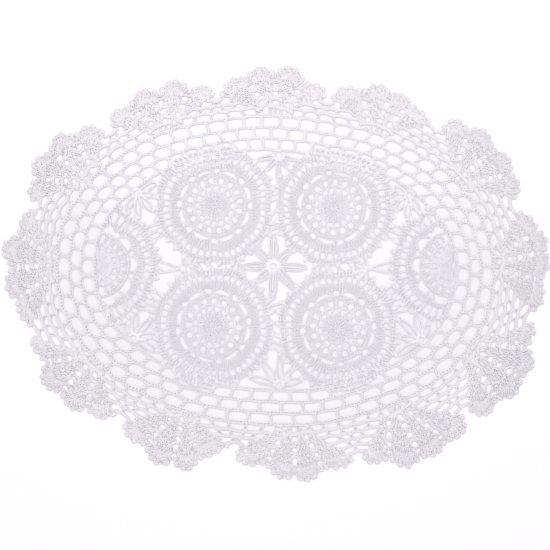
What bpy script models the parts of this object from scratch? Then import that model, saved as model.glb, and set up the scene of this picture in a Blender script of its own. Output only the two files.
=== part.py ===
"""An oval crochet lace doily laid flat.

Four round medallions and two half ones are hooked together, star fillings close the spaces
between them, a net ground is worked round the group, and an edging of twelve fans borders it.
Units are metres, +Z up. The doily lies on z = 0 and its outline is centred on the origin.
"""
import bisect
import math

import bmesh
import bpy

# Driving dimensions
THICKNESS = 0.0016  # the worked cotton lying flat
GAP = 0.00035  # between pieces that are hooked together
STRAND = 0.0018  # width of a chain of the net
MARCH_STEP = 0.0001  # how finely a free length is felt out

# Whole medallions: centre, radius over the petals, turn of the first joint between two petals
MEDALLIONS = {
    "medallion_top_left": dict(x=-0.0437, y=0.0514, radius=0.0454, joint=-2),
    "medallion_top_right": dict(x=0.0437, y=0.0499, radius=0.0454, joint=9),
    "medallion_bottom_left": dict(x=-0.0449, y=-0.0374, radius=0.0458, joint=8),
    "medallion_bottom_right": dict(x=0.0466, y=-0.0393, radius=0.0458, joint=3),
}
MEDALLION_PETALS = 8
MEDALLION_RIM_PLACES = (0, 0.17, 0.36, 0.64, 0.83)  # shares of a petal, from joint to joint

# Half medallions, cut off by the net: centre, radius over the petals, where the middle petal
# faces, and the turn of the bar that reaches in between the whole medallions
HALF_MEDALLIONS = {
    "half_medallion_left": dict(x=-0.1321, y=0.0106, radius=0.0442, faces=0, bar=-6),
    "half_medallion_right": dict(x=0.1288, y=0.0114, radius=0.0442, faces=180, bar=6),
}
HALF_PETAL_ANGLE = 36
HALF_RIM_PLACES = (0, 0.2, 0.5, 0.8)
BAR_REACH = 0.0640
BAR_HALF_WIDTH = 0.0009
HALF_SLOTS = 3  # the two petals at the net have no room for theirs

JOINT_DEPTH = 0.0040  # how far the rim drops at a joint between two petals
JOINT_WIDTH = 5.0  # degrees, half width of that drop
PRESSED_LEAN = 0.5  # a neighbour presses the rim up to 60 degrees from its direction
SLOT_INNER = 0.0238
SLOT_OUTER = 0.0276
SLOT_SHARE = 0.36  # half length of a slot, as a share of its petal's angle

# Chain rounds of the net, from the joined motifs outwards. The open meshes inside a round are
# shifted by half a mesh against those of the next round.
NET_CENTRE = (0.0011, 0.0051)
NET_FULLNESS = 2.12  # 2 is an ellipse, more is squarer
NET_MESHES = 58  # in each round
NET_EASE = 0.09  # the meshes are wider at the bottom and narrower at the top by this share
NET_ROUNDS = {
    "foundation": dict(half_length=0.1343, half_width=0.0866),
    "first": dict(half_length=0.1439, half_width=0.0947, shift=0.25),
    "second": dict(half_length=0.1523, half_width=0.1028, shift=0.75),
    "third": dict(half_length=0.1615, half_width=0.1112, shift=0.25),
}
BASE_STEP = 0.001  # share of the round over which its direction is taken
# How far the hand-worked rounds stand out from an even oval: slow waves round the doily
OVAL_SPREAD = 0.0002
OVAL_WAVES = (
    dict(count=1, cosine=-0.0017, sine=0.0007),
    dict(count=2, cosine=0.0016, sine=0.0015),
)

# Star fillings: place of the hub on the foundation round, turn of the middle petal, longest petal
FILLINGS = {
    "filling_top": dict(place=0.997, turn=0, longest=0.0210),
    "filling_corner_top_left": dict(place=0.155, turn=4, longest=0.0190),
    "filling_corner_bottom_left": dict(place=0.338, turn=-4, longest=0.0190),
    "filling_bottom": dict(place=0.503, turn=0, longest=0.0200),
    "filling_corner_bottom_right": dict(place=0.662, turn=4, longest=0.0190),
    "filling_corner_top_right": dict(place=0.847, turn=-4, longest=0.0190),
}
FILLING_STEP = 37
FILLING_PETAL_TURNS = (-74, -37, 0, 37, 74)
LEAST_PETAL = 0.0060  # a shorter petal is left out
STAR = dict(x=-0.0011, y=0.0059, longest=0.0215)
STAR_PETALS = 8
HUB_RADIUS = 0.0024
HUB_BACK_TURNS = (140, 180, 220)  # corners of a hub on the side of the net
PETAL_HALF_WIDTH = 0.0017
PETAL_TIP_HALF_WIDTH = 0.0007
PETAL_WIDEST = 0.5  # share of its length
PETAL_CLEARANCE = 0.0006

# Fans of the edging, from the top round to the left: place of the base as a share of the third
# round, turns of the four wedges from straight out, and how far each wedge reaches
FANS = [
    dict(place=0.0008, turns=(-60, -20, 24, 55), reach=(0.0404, 0.0374, 0.0367, 0.0420)),
    dict(place=0.0917, turns=(-65, -30, 17, 55), reach=(0.0443, 0.0370, 0.0352, 0.0424)),
    dict(place=0.1675, turns=(-48, -8, 28, 58), reach=(0.0393, 0.0398, 0.0435, 0.0471)),
    dict(place=0.2475, turns=(-59, -20, 26, 57), reach=(0.0442, 0.0406, 0.0421, 0.0483)),
    dict(place=0.3345, turns=(-59, -17, 23, 54), reach=(0.0471, 0.0424, 0.0421, 0.0444)),
    dict(place=0.4225, turns=(-50, -10, 22, 50), reach=(0.0484, 0.0439, 0.0448, 0.0418)),
    dict(place=0.5143, turns=(-59, -15, 13, 52), reach=(0.0458, 0.0399, 0.0431, 0.0492)),
    dict(place=0.5975, turns=(-46, -9, 19, 46), reach=(0.0487, 0.0476, 0.0494, 0.0559)),
    dict(place=0.6780, turns=(-42, -8, 21, 54), reach=(0.0514, 0.0491, 0.0493, 0.0497)),
    dict(place=0.7550, turns=(-43, -6, 21, 45), reach=(0.0475, 0.0407, 0.0421, 0.0448)),
    dict(place=0.8315, turns=(-48, -20, 18, 50), reach=(0.0454, 0.0415, 0.0425, 0.0455)),
    dict(place=0.9138, turns=(-44, -19, 17, 59), reach=(0.0380, 0.0343, 0.0351, 0.0418)),
]
# Notches between the fans, each after the fan in the same row above: place and depth
NOTCHES = [
    dict(place=0.0488, depth=0.0156),
    dict(place=0.1320, depth=0.0190),
    dict(place=0.2067, depth=0.0214),
    dict(place=0.2945, depth=0.0236),
    dict(place=0.3792, depth=0.0212),
    dict(place=0.4683, depth=0.0190),
    dict(place=0.5597, depth=0.0255),
    dict(place=0.6413, depth=0.0313),
    dict(place=0.7163, depth=0.0280),
    dict(place=0.7925, depth=0.0219),
    dict(place=0.8703, depth=0.0210),
    dict(place=0.9600, depth=0.0156),
]
SCALLOP_RADIUS = 0.0088
SCALLOP_TURNS = (-54, -20, 20, 54)
LOOP_PLACES = (0.16, 0.46, 0.74)  # open loops between two fans, share of the way to the notch
LOOP_HALF_LENGTH = 0.0062
LOOP_HALF_HEIGHT = 0.0012
LOOP_NARROWING = 0.35  # the loops are shorter by this share at the notch

COTTON = (0.86, 0.86, 0.88, 1.0)
DENSE_COTTON = (0.80, 0.80, 0.83, 1.0)


def polar(centre, radius, degrees):
    angle = math.radians(degrees)
    return (centre[0] + radius * math.cos(angle), centre[1] + radius * math.sin(angle))


def between(start, end, share):
    return tuple(a + (b - a) * share for a, b in zip(start, end))


def direction(start, end):
    return math.degrees(math.atan2(end[1] - start[1], end[0] - start[0]))


# The rounds of the net


TOP = 90  # degrees: the rounds are followed from the top over the left
OVAL_STEPS = 1440
OVALS = {}  # each round's table, kept once it is worked out


def outward_wave(share):
    """How far the round stands out from an even oval at that share of the way round."""
    distance = OVAL_SPREAD
    for wave in OVAL_WAVES:
        angle = 2 * math.pi * wave["count"] * share
        distance += wave["cosine"] * math.cos(angle) + wave["sine"] * math.sin(angle)
    return distance


def superellipse_point(half_length, half_width, degrees):
    cosine = math.cos(math.radians(degrees))
    sine = math.sin(math.radians(degrees))
    power = 2 / NET_FULLNESS
    x = half_length * math.copysign(abs(cosine) ** power, cosine)
    y = half_width * math.copysign(abs(sine) ** power, sine)
    return (x, y)


def oval_table(round_name, outwards):
    """Points round the net, each with its share of the way and its direction from the centre."""
    half_length = NET_ROUNDS[round_name]["half_length"] + outwards
    half_width = NET_ROUNDS[round_name]["half_width"] + outwards
    turns = [TOP + 360 * step / OVAL_STEPS for step in range(OVAL_STEPS + 1)]
    even = [superellipse_point(half_length, half_width, turn) for turn in turns]
    lengths = [0.0]
    for start, end in zip(even, even[1:]):
        lengths.append(lengths[-1] + math.dist(start, end))
    shares = [length / lengths[-1] for length in lengths]
    points = []
    directions = []
    for (x, y), share in zip(even, shares):
        stretch = 1 + outward_wave(share) / math.hypot(x, y)
        points.append((NET_CENTRE[0] + x * stretch, NET_CENTRE[1] + y * stretch))
        directions.append((math.degrees(math.atan2(y, x)) - TOP) % 360)
    directions[0] = 0.0
    directions[-1] = 360.0
    return points, shares, directions


def oval(round_name, outwards):
    key = (round_name, outwards)
    if key not in OVALS:
        OVALS[key] = oval_table(round_name, outwards)
    return OVALS[key]


def looked_up(points, keys, key):
    """The point that belongs to a key, between the two nearest keys of a rising table."""
    after = min(max(bisect.bisect_right(keys, key), 1), len(keys) - 1)
    share = (key - keys[after - 1]) / (keys[after] - keys[after - 1])
    return between(points[after - 1], points[after], share)


def oval_point(round_name, share, outwards=0.0):
    points, shares, _ = oval(round_name, outwards)
    return looked_up(points, shares, share % 1.0)


def oval_towards(round_name, point, outwards=0.0):
    """Where the line from the centre through a point crosses the round."""
    points, _, directions = oval(round_name, outwards)
    return looked_up(points, directions, (direction(NET_CENTRE, point) - TOP) % 360)


def is_inside_net(point, gap):
    edge = oval_towards("foundation", point, -STRAND / 2)
    return math.dist(NET_CENTRE, point) < math.dist(NET_CENTRE, edge) - gap


def kept_inside_net(point):
    edge = oval_towards("foundation", point, -STRAND / 2 - GAP)
    if math.dist(NET_CENTRE, point) < math.dist(NET_CENTRE, edge):
        return point
    return edge


def mesh_share(position):
    """Share of the way round at a count of meshes from the top."""
    even = position / NET_MESHES
    return even - NET_EASE / (2 * math.pi) * math.sin(2 * math.pi * even)


def open_meshes(inner_name, outer_name):
    """The openings between two rounds, four-cornered, with a post left between neighbours."""
    shift = NET_ROUNDS[outer_name]["shift"]
    pitch = math.dist(oval_point(outer_name, 0), oval_point(outer_name, mesh_share(1)))
    half = 0.5 - STRAND / 2 / pitch
    holes = []
    for mesh in range(NET_MESHES):
        start = mesh_share(mesh + shift - half)
        end = mesh_share(mesh + shift + half)
        inner = [oval_point(inner_name, share, STRAND / 2) for share in (start, end)]
        outer = [oval_point(outer_name, share, -STRAND / 2) for share in (end, start)]
        holes.append(inner + outer)
    return holes


def net_ground():
    inner_shares = [mesh_share(step / 2) for step in range(2 * NET_MESHES)]
    inner = [oval_point("foundation", share, -STRAND / 2) for share in inner_shares]
    outer_shares = [mesh_share(step) for step in range(NET_MESHES)]
    outer = [oval_point("third", share, STRAND / 2) for share in outer_shares]
    holes = [inner]
    holes += open_meshes("foundation", "first")
    holes += open_meshes("first", "second")
    holes += open_meshes("second", "third")
    return outer, holes


# The motifs


def centre_of(motif):
    return (motif["x"], motif["y"])


def petal_rim(motif, degrees, first_joint, petal_angle):
    """Radius of the scalloped rim: full over the petals, with a drop at each joint."""
    off = (degrees - first_joint + petal_angle / 2) % petal_angle - petal_angle / 2
    return motif["radius"] - JOINT_DEPTH * math.exp(-((off / JOINT_WIDTH) ** 2))


def medallion_rim(name, degrees):
    """The rim, pressed straight where the medallion meets its neighbours."""
    motif = MEDALLIONS[name]
    radius = petal_rim(motif, degrees, motif["joint"], 360 / MEDALLION_PETALS)
    for other, neighbour in MEDALLIONS.items():
        if other == name:
            continue
        apart = math.dist(centre_of(motif), centre_of(neighbour))
        lean = math.cos(math.radians(degrees - direction(centre_of(motif), centre_of(neighbour))))
        if lean > PRESSED_LEAN:
            radius = min(radius, (apart - GAP) / 2 / lean)
    return radius


def half_rim(name, degrees):
    motif = HALF_MEDALLIONS[name]
    first_joint = motif["faces"] + HALF_PETAL_ANGLE / 2
    return petal_rim(motif, degrees, first_joint, HALF_PETAL_ANGLE)


def is_clear(point, gap):
    """True where a point keeps the gap to every medallion and to the net."""
    for motifs, rim in ((MEDALLIONS, medallion_rim), (HALF_MEDALLIONS, half_rim)):
        for name, motif in motifs.items():
            centre = centre_of(motif)
            if math.dist(centre, point) < rim(name, direction(centre, point)) + gap:
                return False
    return is_inside_net(point, gap)


def medallion_outline(name):
    motif = MEDALLIONS[name]
    petal_angle = 360 / MEDALLION_PETALS
    points = []
    for petal in range(MEDALLION_PETALS):
        for share in MEDALLION_RIM_PLACES:
            degrees = motif["joint"] + (petal + share) * petal_angle
            point = polar(centre_of(motif), medallion_rim(name, degrees), degrees)
            points.append(kept_inside_net(point))
    return points


def half_outline(name):
    """Petals all round, drawn in where they would cross the net, and the bar."""
    motif = HALF_MEDALLIONS[name]
    corners = []
    for petal in range(round(360 / HALF_PETAL_ANGLE)):
        for share in HALF_RIM_PLACES:
            turn = (petal - 5.5 + share) * HALF_PETAL_ANGLE
            corners.append((turn, half_rim(name, motif["faces"] + turn)))
    for reach in (half_rim(name, motif["faces"] + motif["bar"]), BAR_REACH):
        half_turn = math.degrees(BAR_HALF_WIDTH / reach)
        corners += [(motif["bar"] - half_turn, reach), (motif["bar"] + half_turn, reach)]
    # the bar's far corners turn less than its near ones, so it comes out in order
    corners.sort()
    points = [polar(centre_of(motif), reach, motif["faces"] + turn) for turn, reach in corners]
    return [kept_inside_net(point) for point in points]


def slots(motif, petals, first_facing, petal_angle):
    """The long slots inside the petals: one lens for each petal."""
    centre = centre_of(motif)
    half = petal_angle * SLOT_SHARE
    middle = (SLOT_INNER + SLOT_OUTER) / 2
    lens = ((middle, -1), (SLOT_OUTER, 0), (middle, 1), (SLOT_INNER, 0))
    holes = []
    for petal in range(petals):
        facing = first_facing + petal * petal_angle
        holes.append([polar(centre, radius, facing + share * half) for radius, share in lens])
    return holes


# The fan edging


def edging_base(share):
    return oval_point("third", share, STRAND / 2 + GAP)


def outward_direction(share):
    """Direction straight out of the net at that share of the way round."""
    return direction(edging_base(share - BASE_STEP), edging_base(share + BASE_STEP)) - 90


def fan_scallops(fan):
    base = edging_base(fan["place"])
    points = []
    for turn, reach in zip(fan["turns"], fan["reach"]):
        aim = outward_direction(fan["place"]) + turn
        centre = polar(base, reach - SCALLOP_RADIUS, aim)
        points += [polar(centre, SCALLOP_RADIUS, aim + lean) for lean in SCALLOP_TURNS]
    return points


def loops_under(notch):
    """The open loops of the close rows between two fans, from the net out to the notch."""
    base = edging_base(notch["place"])
    out = outward_direction(notch["place"])
    holes = []
    for place in LOOP_PLACES:
        centre = polar(base, notch["depth"] * place, out)
        half_length = LOOP_HALF_LENGTH * (1 - LOOP_NARROWING * place)
        sizes = (LOOP_HALF_HEIGHT, half_length, LOOP_HALF_HEIGHT, half_length)
        holes.append([polar(centre, size, out + 90 * side) for side, size in enumerate(sizes)])
    return holes


def fan_edging():
    outline = []
    holes = [[edging_base(mesh_share(step)) for step in range(NET_MESHES)]]
    for fan, notch in zip(FANS, NOTCHES):
        outline += fan_scallops(fan)
        out = outward_direction(notch["place"])
        outline.append(polar(edging_base(notch["place"]), notch["depth"], out))
        holes += loops_under(notch)
    return outline, holes


# Star fillings


def petal_length(hub, degrees, longest):
    """How far a petal can reach before one of its corners meets a medallion or the net."""
    length = HUB_RADIUS
    while length < longest:
        tip = polar(hub, length, degrees)
        corners = [polar(tip, PETAL_TIP_HALF_WIDTH, degrees + turn) for turn in (90, -90)]
        if not all(is_clear(corner, PETAL_CLEARANCE) for corner in corners):
            return length - MARCH_STEP
        length += MARCH_STEP
    return longest


def petal_outline(hub, degrees, length):
    """A narrow petal: up its right side, over the tip and down its left side."""
    sides = []
    for share, half_width in ((PETAL_WIDEST, PETAL_HALF_WIDTH), (1, PETAL_TIP_HALF_WIDTH)):
        middle = polar(hub, length * share, degrees)
        sides.append([polar(middle, half_width, degrees + turn) for turn in (-90, 90)])
    return [sides[0][0], sides[1][0], sides[1][1], sides[0][1]]


def star_filling():
    hub = centre_of(STAR)
    step = 360 / STAR_PETALS
    outline = []
    for petal in range(STAR_PETALS):
        degrees = TOP + petal * step
        outline += petal_outline(hub, degrees, petal_length(hub, degrees, STAR["longest"]))
        outline.append(polar(hub, HUB_RADIUS, degrees + step / 2))
    return outline


def edge_filling(filling):
    """A filling whose hub hangs from the foundation round, its petals fanned inwards."""
    before = oval_point("foundation", filling["place"] - BASE_STEP)
    after = oval_point("foundation", filling["place"] + BASE_STEP)
    inwards = direction(before, after) + 90
    hung = oval_point("foundation", filling["place"])
    hub = polar(hung, HUB_RADIUS + STRAND / 2 + GAP, inwards)
    outline = [polar(hub, HUB_RADIUS, inwards + turn) for turn in HUB_BACK_TURNS]
    for turn in FILLING_PETAL_TURNS:
        degrees = inwards + filling["turn"] + turn
        length = petal_length(hub, degrees, filling["longest"])
        if length > LEAST_PETAL:
            outline += petal_outline(hub, degrees, length)
        outline.append(polar(hub, HUB_RADIUS, degrees + FILLING_STEP / 2))
    return outline[:-1]


# Building


def cotton(name, color, roughness):
    material = bpy.data.materials.new(name)
    material.use_nodes = True
    shader = material.node_tree.nodes["Principled BSDF"]
    shader.inputs["Base Color"].default_value = color
    shader.inputs["Roughness"].default_value = roughness
    shader.inputs["Metallic"].default_value = 0.0
    return material


def flat_piece(name, outline, holes, centre, collection, material):
    """A flat outline with its openings, given the cloth's thickness and laid on z = 0."""
    curve = bpy.data.curves.new(name, "CURVE")
    curve.dimensions = "2D"
    curve.fill_mode = "BOTH"
    curve.extrude = THICKNESS / 2
    for loop in [outline] + holes:
        spline = curve.splines.new("POLY")
        spline.points.add(len(loop) - 1)
        spline.use_cyclic_u = True
        for point, (x, y) in zip(spline.points, loop):
            point.co = (x - centre[0], y - centre[1], 0, 1)
    drawn = bpy.data.objects.new(name + "_outline", curve)
    collection.objects.link(drawn)
    bpy.context.view_layer.update()
    evaluated = drawn.evaluated_get(bpy.context.evaluated_depsgraph_get())
    mesh = bpy.data.meshes.new_from_object(evaluated)
    bpy.data.objects.remove(drawn)
    bpy.data.curves.remove(curve)
    shape = bmesh.new()
    shape.from_mesh(mesh)
    bmesh.ops.remove_doubles(shape, verts=shape.verts, dist=0.00002)
    bmesh.ops.recalc_face_normals(shape, faces=shape.faces)
    shape.to_mesh(mesh)
    shape.free()
    mesh.name = name
    mesh.materials.clear()
    mesh.materials.append(material)
    piece = bpy.data.objects.new(name, mesh)
    piece.location.z = THICKNESS / 2
    collection.objects.link(piece)
    return piece


def middle_of(outline):
    xs = [x for x, _ in outline]
    ys = [y for _, y in outline]
    return ((min(xs) + max(xs)) / 2, (min(ys) + max(ys)) / 2)


def build():
    for leftover in list(bpy.data.objects):
        bpy.data.objects.remove(leftover)
    collection = bpy.data.collections.new("lace_doily")
    bpy.context.scene.collection.children.link(collection)
    edging_outline, edging_holes = fan_edging()
    centre = middle_of(edging_outline)

    def add(name, outline, holes, color):
        flat_piece(name, outline, holes, centre, collection, cotton(name + "_cotton", color, 0.9))

    for name, motif in MEDALLIONS.items():
        petal_angle = 360 / MEDALLION_PETALS
        openings = slots(motif, MEDALLION_PETALS, motif["joint"] + petal_angle / 2, petal_angle)
        add(name, medallion_outline(name), openings, DENSE_COTTON)
    for name, motif in HALF_MEDALLIONS.items():
        openings = slots(motif, HALF_SLOTS, motif["faces"] - HALF_PETAL_ANGLE, HALF_PETAL_ANGLE)
        add(name, half_outline(name), openings, DENSE_COTTON)
    add("centre_star", star_filling(), [], COTTON)
    for name, filling in FILLINGS.items():
        add(name, edge_filling(filling), [], COTTON)
    add("net_ground", *net_ground(), COTTON)
    add("fan_edging", edging_outline, edging_holes, DENSE_COTTON)


build()
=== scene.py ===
"""An oval crochet lace doily lying flat on a pale table, seen from straight above.

Every stitch is worked in cotton: chains, double crochets, short stitches and picots are laid as
strands, and each worked piece is one mesh that stands where its flat solid is.
"""

import bisect
import functools
import math
import random
from itertools import pairwise

import bmesh
import bpy
import numpy as np
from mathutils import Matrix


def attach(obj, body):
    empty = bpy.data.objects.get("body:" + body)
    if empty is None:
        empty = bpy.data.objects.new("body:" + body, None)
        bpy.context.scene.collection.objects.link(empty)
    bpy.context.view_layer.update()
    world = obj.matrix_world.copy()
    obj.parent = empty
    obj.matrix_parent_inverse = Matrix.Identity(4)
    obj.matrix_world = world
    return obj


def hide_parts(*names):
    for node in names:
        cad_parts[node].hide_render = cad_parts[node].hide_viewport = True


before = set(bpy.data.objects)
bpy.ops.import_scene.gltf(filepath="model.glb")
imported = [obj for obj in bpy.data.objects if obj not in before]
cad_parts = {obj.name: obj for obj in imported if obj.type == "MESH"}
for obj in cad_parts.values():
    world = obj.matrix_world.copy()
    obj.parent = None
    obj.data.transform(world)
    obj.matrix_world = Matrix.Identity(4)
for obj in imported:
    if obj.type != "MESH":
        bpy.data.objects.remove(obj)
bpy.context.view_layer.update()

MM = 0.001
rng = random.Random(11)

# The thread and its stitches
THREADS = {  # radius of a strand, and how high its stitches stand
    "cotton_motif": (0.44 * MM, 1.15),
    "cotton_filling": (0.48 * MM, 1.15),
    "cotton_net": (0.50 * MM, 1.2),
    "cotton_edging": (0.56 * MM, 0.75),
}
CHAIN_PITCH = 2.6 * MM  # length of a chain stitch
CHAIN_HALF = 0.66 * MM  # from the middle of a chain to the middle of one of its strands
LOOP_HALF = 0.78 * MM
NET_CHAIN_HALF = 0.90 * MM
NET_POST_HALF = 1.00 * MM
NET_END_HALF = 0.42 * MM  # the stitches are fuller by this at the two ends of the oval
NET_LOW_HALF = 0.20 * MM  # and by this at its lower side
DENSE_PITCH = 2.5 * MM  # double crochets side by side
UNEVEN = 0.12 * MM  # how far a stitch sits off its place
UNEVEN_WIDTH = 0.08  # and how far off its width, as a share of it

# The doily's drawing has its own origin, this far from the middle of its outline
MIDDLE = (0.0010102, 0.0002000)
GAP = 0.00035  # between the flat solids of two pieces
STRAND = 0.0018  # width of the net's chains in its flat solid

MEDALLIONS = {
    "medallion_" + name: dict(x=x, y=y, radius=radius, joint=joint, angle=45)
    for name, x, y, radius, joint in (
        ("top_left", -0.0437, 0.0514, 0.0454, -2),
        ("top_right", 0.0437, 0.0499, 0.0454, 9),
        ("bottom_left", -0.0449, -0.0374, 0.0458, 8),
        ("bottom_right", 0.0466, -0.0393, 0.0458, 3),
    )}
HALF_MEDALLIONS = {
    "half_medallion_" + name: dict(x=x, y=y, radius=0.0466, joint=faces + 18, angle=36,
                                   faces=faces, bar=bar)
    for name, x, y, faces, bar in (
        ("left", -0.1307, 0.0078, 0, -3), ("right", 0.1304, 0.0076, 180, 3))}
MOTIFS = {**MEDALLIONS, **HALF_MEDALLIONS}  # joint: between two petals; angle: a petal's
HOOKED_TO = {
    "medallion_top_left": {"medallion_top_right": (-25, -17, 9),
                           "medallion_bottom_left": (-29, -25, -17, 9, 17, 25)},
    "medallion_bottom_right": {"medallion_bottom_left": (-25, -17, 9, 17, 25),
                               "medallion_top_right": (-29, -25, -17, 9, 17, 25)}}
HALF_HOOKED_AT = range(-46, 47, 7)  # degrees from the line to the whole medallion
NEIGHBOUR = 0.12  # it is hooked to whole ones that are nearer than this
WHOLE_HOOK, UPPER_HOOK, LOWER_HOOK = 18.0 * MM, 10.8 * MM, 13.0 * MM  # the longest of each kind
LEAST_HOOK = 2.5 * MM
HOOK_INSET = 2.0 * MM  # a hook starts this far inside the rim
HALF_HOOK_INSET = 1.5 * MM
BAR_REACH = 0.0625  # from a half medallion's middle to where its two bars meet
BAR_SPREAD = 5  # degrees from each bar to their middle line, where they leave the motif
BAR_INSET = 0.5 * MM
BAR_HALF = 0.75 * MM
BRANCH_TURNS = (-84, -48, -16, 16, 48, 84)  # short chains from where the bars meet
BRANCH_LENGTH = 11.0 * MM
JOINT_DEPTH = 0.0040  # how far a medallion's rim dips between two petals
JOINT_WIDTH = 5.0  # and over how many degrees
PRESSED_LEAN = 0.5  # cosine of the widest angle at which a neighbour presses

NET_CENTRE = (0.0011, 0.0051)
NET_FULLNESS = 2.12
NET_MESHES = 58
NET_EASE = 0.09  # share by which meshes are closer at the top and wider at the bottom
NET_END, NET_LOW_END = 0.16, 0.11  # from the net's middle to its two ends and its lower side
NET_ROUNDS = {  # half the length and width; where the posts stand, as a share of a mesh
    "foundation": dict(halves=(0.1343, 0.0866)),
    "first": dict(halves=(0.1439, 0.0947), shift=0.25),
    "second": dict(halves=(0.1523, 0.1028), shift=0.75),
    "third": dict(halves=(0.1615, 0.1112), shift=0.25),
}
BASE_STEP = 0.001  # share of a round over which its direction is measured
EDGING_OFF = STRAND / 2 + GAP  # from the net's last round to the foot of the edging
OVAL_SPREAD = 0.0002  # how far the rounds stand off even ovals, with these waves round them
OVAL_WAVES = ((1, -0.0017, 0.0007), (2, 0.0016, 0.0015))  # count, cosine, sine
RIM_STEPS = 3  # short stitches a mesh, between the net and a whole medallion
RIM_REACH = 45.0 * MM  # they end this far from its middle
RIM_TOP = 3.4 * MM  # or at this length over the upper medallions
RIM_LOW = 5.0 * MM  # and at this under the lower ones
RIM_LEAST = 1.5 * MM  # where there is less room there are none
NET_PULL = 0.30 * MM  # how far a post draws the chain that it is worked into
NET_END_PULL = 0.75 * MM  # and so much more at the two ends of the oval

FILLINGS = {
    "filling_" + name: dict(place=place, turn=turn, longest=longest)
    for name, place, turn, longest in (
        ("top", 0.997, 0, 0.0210),
        ("corner_top_left", 0.155, 4, 0.0190),
        ("corner_bottom_left", 0.338, -4, 0.0190),
        ("bottom", 0.503, 0, 0.0200),
        ("corner_bottom_right", 0.662, 4, 0.0190),
        ("corner_top_right", 0.847, -4, 0.0190),
    )}
FILLING_PETAL_TURNS = (-74, -37, 0, 37, 74)
FILLING_STRETCH = 3.5 * MM  # how far a filling's petals may reach beyond its solid's
LEAST_PETAL = 0.0060  # a shorter one is left out
STAR = dict(x=-0.0011, y=0.0059, longest=0.0245)
STAR_PETALS = 8
HUB_RADIUS = 0.0024
HUB_CHAIN = 3.1 * MM  # radius of the chain round the hub
STAR_BOW = 2.5 * MM  # from a petal's middle line to the chain on its side
FILLING_BOW = 2.1 * MM  # the same in a filling
THIN_BOWS = {"filling_top": 1.4 * MM}  # and in one whose petals are thin

# A fan's place on the net's last round, and the directions and distances of its four tips
FANS = [dict(zip(("place", "turns", "reach"), fan)) for fan in (
    (0.0008, (-60, -20, 24, 55), (0.0404, 0.0374, 0.0367, 0.0420)),
    (0.0917, (-65, -30, 17, 55), (0.0443, 0.0370, 0.0352, 0.0424)),
    (0.1675, (-48, -8, 28, 58), (0.0393, 0.0398, 0.0435, 0.0471)),
    (0.2475, (-59, -20, 26, 57), (0.0442, 0.0408, 0.0402, 0.0456)),
    (0.3345, (-59, -17, 23, 54), (0.0475, 0.0412, 0.0405, 0.0444)),
    (0.4225, (-50, -10, 22, 50), (0.0454, 0.0438, 0.0430, 0.0384)),
    (0.5143, (-59, -15, 13, 52), (0.0482, 0.0396, 0.0412, 0.0492)),
    (0.5975, (-46, -9, 19, 46), (0.0468, 0.0464, 0.0480, 0.0552)),
    (0.6780, (-42, -8, 21, 54), (0.0510, 0.0478, 0.0478, 0.0497)),
    (0.7550, (-43, -6, 21, 45), (0.0455, 0.0402, 0.0421, 0.0432)),
    (0.8315, (-48, -20, 18, 50), (0.0454, 0.0415, 0.0425, 0.0455)),
    (0.9138, (-44, -19, 17, 59), (0.0364, 0.0343, 0.0346, 0.0418)),
)]
NOTCHES = [dict(place=place, depth=depth) for place, depth in (
    (0.0488, 0.0140), (0.1320, 0.0170), (0.2067, 0.0214), (0.2945, 0.0236),
    (0.3792, 0.0200), (0.4683, 0.0150), (0.5597, 0.0255), (0.6413, 0.0275),
    (0.7163, 0.0280), (0.7925, 0.0233), (0.8703, 0.0210), (0.9600, 0.0130),
)]
EDGING_PARTS = {"top": (11, 0, 1), "left": (2, 3, 4), "bottom": (5, 6, 7), "right": (8, 9, 10)}
FAN_ROWS = 7
EYELETS = (7.7 * MM, 15.2 * MM, 22.6 * MM, 30.0 * MM)  # from the dent towards the net
EYELET = 1.95 * MM  # radius
EYELET_WANDER = 0.3 * MM
EYELET_LIMIT = 3.2 * MM  # none is nearer to the net than this
EYELET_ROOM = 0.3 * MM  # between an eyelet and a chain that gives way to it
UPPER_FANS = (0, 1, 2, 10, 11)  # these are worked more openly
UPPER_EYELETS = (5.2 * MM, 11.6 * MM, 18.0 * MM, 24.4 * MM, 30.8 * MM)
SIDE_BOW = 3.2 * MM  # how far the sides of a fan are drawn in by the loops beside it
LOOP_ROW = 5.3 * MM  # height of a row of loops between two fans
FOOT_SPREAD = 4.0 * MM  # between the feet of two neighbouring wedge edges
FOOT_HEIGHT = 4.6 * MM  # a round of small meshes between the net and a fan
OUTER_FOOT_HEIGHT = 1.2 * FOOT_HEIGHT  # at a fan's two sides
PICOT = 1.9 * MM  # its length, and its width
PICOT_WIDTH = 3.3 * MM
PICOT_PITCH = 7.0 * MM
SCALLOP_PITCH = 2.1 * MM  # double crochets over the top of a wedge
WEDGE_ROOM = 0.6 * MM  # from the side of a wedge to its outermost stitch
VALLEY_DROP = 0.22  # depth of the dent between two scallops, as a share of their distance
SCALLOP_DEPTH = 7.2 * MM  # from the top of a wedge to the middle of its scallop's edge
VALLEY_DEPTH = 4.4 * MM  # from the end of an eyelet line to the dent between two scallops
NOTCH_HALF = 5.6 * MM
LOOP_LENGTH = 11.5 * MM
LOOP_DIP = 0.75 * MM  # how far a loop sags where the next row isn't worked into it


# Points and lines on the cloth


def polar(centre, radius, degrees):
    angle = math.radians(degrees)
    return (centre[0] + radius * math.cos(angle), centre[1] + radius * math.sin(angle))


def shifted(point, start, end, share):
    """A point moved by a share of the way from start to end."""
    return tuple(p + (b - a) * share for p, a, b in zip(point, start, end))


def between(start, end, share):
    return shifted(start, start, end, share)


def direction(start, end):
    return math.degrees(math.atan2(end[1] - start[1], end[0] - start[0]))


def steps_of(path):
    return np.hypot(*np.diff(np.asarray(path, dtype=float), axis=0).T)


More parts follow.
